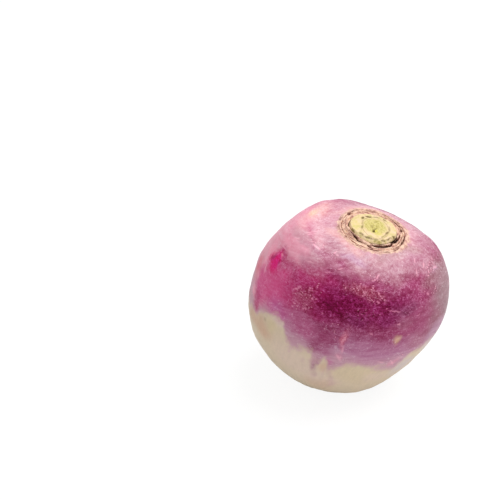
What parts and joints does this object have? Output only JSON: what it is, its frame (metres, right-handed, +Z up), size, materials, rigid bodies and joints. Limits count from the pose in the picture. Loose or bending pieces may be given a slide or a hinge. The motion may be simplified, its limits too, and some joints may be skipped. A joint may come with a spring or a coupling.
{
  "type": "turnip",
  "caption": "Purple-top turnip with its leaves trimmed off: a squat swollen root, a ring of dry leaf bases in the crown, and the cut leaf-stalk stub.",
  "frame": {"origin": "middle of the small flat spot that the root rests on, under its centre of mass", "axes": "+Z up from the surface it rests on; +X to the right seen from the front, which is the side the crown leans to; +Y away from the front"},
  "size_m": [0.0859, 0.0798, 0.077],
  "materials": {
    "root_skin": "smooth, slightly waxy turnip skin, magenta purple above and creamy white below, with fine corky flecks",
    "dry_leaf": "dry, papery, brown and peach leaf bases",
    "cut_stalk": "matt, pale yellow-green cut stalk tissue"
  },
  "bodies": {
    "root": {"swollen_root": "root_skin", "leaf_bases": "dry_leaf", "stalk_stub": "cut_stalk"}
  },
  "joints": []
}
